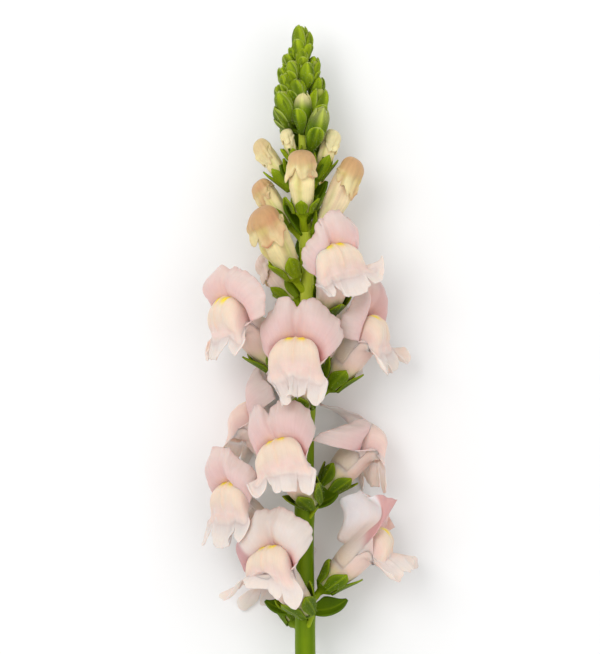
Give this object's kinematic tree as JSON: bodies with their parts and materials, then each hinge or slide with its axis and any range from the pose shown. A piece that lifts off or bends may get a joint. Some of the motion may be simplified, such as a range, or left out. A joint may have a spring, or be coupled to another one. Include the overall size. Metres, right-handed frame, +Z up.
{
  "type": "cut snapdragon stem",
  "caption": "Cut snapdragon stem lying on its back, with pale pink and cream open flowers, half-open buds and a tip of tight green buds.",
  "frame": {"origin": "middle of the plant's box, on the surface that it lies on", "axes": "+Y along the stem towards the bud tip, +Z up from the surface, +X to the right"},
  "size_m": [0.0806, 0.311, 0.0555],
  "materials": {
    "green": "satin",
    "petal": "matte",
    "bud": "matte"
  },
  "bodies": {
    "root": {"stem": "green", "flower_1": "petal", "flower_2": "petal", "flower_3": "petal", "flower_4": "petal", "flower_5": "petal", "flower_6": "petal", "flower_7": "petal", "flower_8": "petal", "flower_9": "petal", "flower_10": "petal", "flower_11": "petal", "flower_12": "petal", "bud_1": "bud", "bud_2": "bud", "bud_3": "bud", "bud_4": "bud", "bud_5": "bud", "bud_6": "bud", "bud_7": "bud", "bud_8": "bud", "bud_9": "bud", "bud_10": "bud"}
  },
  "joints": []
}
